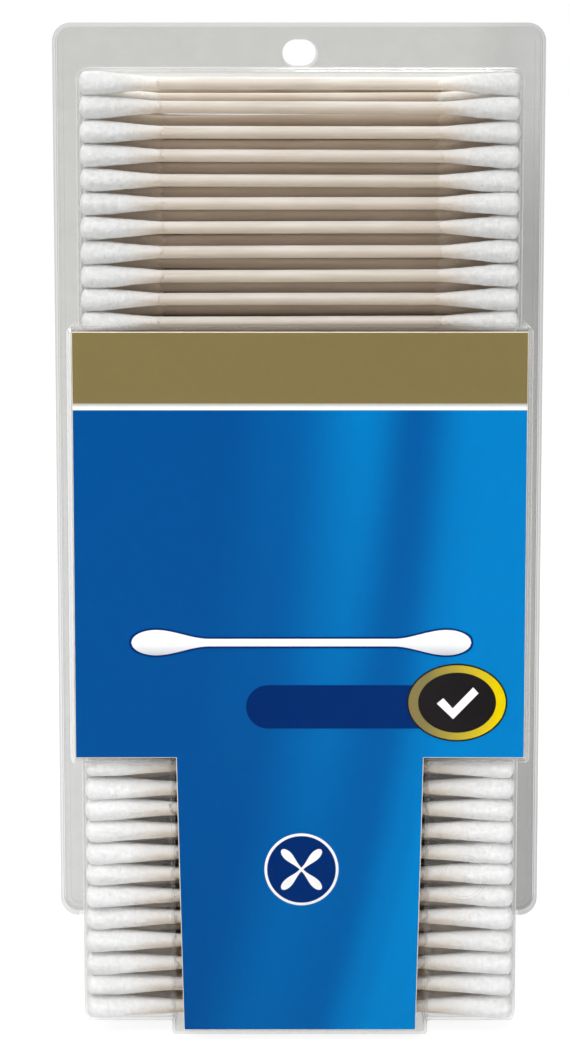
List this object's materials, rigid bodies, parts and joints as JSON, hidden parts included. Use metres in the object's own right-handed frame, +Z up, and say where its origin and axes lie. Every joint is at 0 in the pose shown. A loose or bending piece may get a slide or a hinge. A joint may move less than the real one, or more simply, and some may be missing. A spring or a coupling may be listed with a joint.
{
  "type": "cotton swab tub",
  "caption": "Clear hanging plastic tub packed with rows of cotton swabs, with a T-shaped card behind a raised front pocket and a lift-off back lid.",
  "frame": {"origin": "under the middle of the upright pack, at the foot of its rim", "axes": "+Z up along the pack, +Y towards the back lid, +X to the viewer's right seen from the front"},
  "size_m": [0.1016, 0.06, 0.1894],
  "materials": {
    "clear_sheet": "clear glossy formed sheet",
    "lid_sheet": "clear glossy formed sheet",
    "card": "coated card printed in blue fields under a dull gold band",
    "stick_paper": "matt rolled paper",
    "cotton": "matt wound cotton fibre"
  },
  "bodies": {
    "pack": {"tub": "clear_sheet", "label_card": "card", "sticks_layer_1": "stick_paper", "sticks_layer_2": "stick_paper", "sticks_layer_3": "stick_paper", "sticks_layer_4": "stick_paper", "sticks_layer_5": "stick_paper", "sticks_layer_6": "stick_paper", "sticks_layer_7": "stick_paper", "sticks_layer_8": "stick_paper", "sticks_layer_9": "stick_paper", "sticks_layer_10": "stick_paper", "sticks_layer_11": "stick_paper", "sticks_layer_12": "stick_paper", "buds_layer_1": "cotton", "buds_layer_2": "cotton", "buds_layer_3": "cotton", "buds_layer_4": "cotton", "buds_layer_5": "cotton", "buds_layer_6": "cotton", "buds_layer_7": "cotton", "buds_layer_8": "cotton", "buds_layer_9": "cotton", "buds_layer_10": "cotton", "buds_layer_11": "cotton", "buds_layer_12": "cotton"},
    "lid": {"back_lid": "lid_sheet"}
  },
  "joints": [
    {"name": "lid_lift", "type": "slide", "parent": "pack", "child": "lid", "axis": [0, 1, 0], "range_m": [0, 0.08]}
  ]
}
